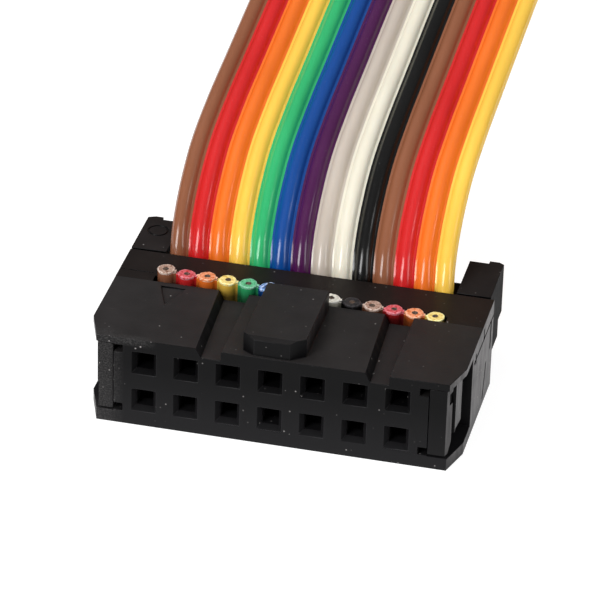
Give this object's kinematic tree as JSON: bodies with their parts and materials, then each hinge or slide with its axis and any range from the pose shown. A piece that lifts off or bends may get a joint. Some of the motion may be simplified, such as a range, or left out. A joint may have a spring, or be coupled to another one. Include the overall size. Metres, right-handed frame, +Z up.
{
  "type": "ribbon cable",
  "caption": "Flat rainbow ribbon cable with a two-row black socket connector, cover and strain relief pressed on at each end.",
  "frame": {"origin": "under the middle of the near connector, on the surface it lies on", "axes": "+X along the connector's length, -Y the way the near socket's mating face looks, +Z up through the face with the polarising key"},
  "size_m": [0.0226, 0.1826, 0.0177],
  "materials": {
    "moulding_black": "satin moulded thermoplastic",
    "contact_metal": "plated spring metal",
    "wire_brown": "soft glossy insulation",
    "wire_red": "soft glossy insulation",
    "wire_orange": "soft glossy insulation",
    "wire_yellow": "soft glossy insulation",
    "wire_green": "soft glossy insulation",
    "wire_blue": "soft glossy insulation",
    "wire_purple": "soft glossy insulation",
    "wire_grey": "soft glossy insulation",
    "wire_ivory": "soft glossy insulation",
    "wire_black": "soft glossy insulation"
  },
  "bodies": {
    "root": {"socket_body": "moulding_black", "cover": "moulding_black", "strain_relief": "moulding_black", "far_socket_body": "moulding_black", "far_cover": "moulding_black", "far_strain_relief": "moulding_black", "contact_1": "contact_metal", "contact_2": "contact_metal", "contact_3": "contact_metal", "contact_4": "contact_metal", "contact_5": "contact_metal", "contact_6": "contact_metal", "contact_7": "contact_metal", "contact_8": "contact_metal", "contact_9": "contact_metal", "contact_10": "contact_metal", "contact_11": "contact_metal", "contact_12": "contact_metal", "contact_13": "contact_metal", "contact_14": "contact_metal", "far_contact_1": "contact_metal", "far_contact_2": "contact_metal", "far_contact_3": "contact_metal", "far_contact_4": "contact_metal", "far_contact_5": "contact_metal", "far_contact_6": "contact_metal", "far_contact_7": "contact_metal", "far_contact_8": "contact_metal", "far_contact_9": "contact_metal", "far_contact_10": "contact_metal", "far_contact_11": "contact_metal", "far_contact_12": "contact_metal", "far_contact_13": "contact_metal", "far_contact_14": "contact_metal", "wire_1_brown": "wire_brown", "wire_2_red": "wire_red", "wire_3_orange": "wire_orange", "wire_4_yellow": "wire_yellow", "wire_5_green": "wire_green", "wire_6_blue": "wire_blue", "wire_7_purple": "wire_purple", "wire_8_grey": "wire_grey", "wire_9_ivory": "wire_ivory", "wire_10_black": "wire_black", "wire_11_brown": "wire_brown", "wire_12_red": "wire_red", "wire_13_orange": "wire_orange", "wire_14_yellow": "wire_yellow"}
  },
  "joints": []
}
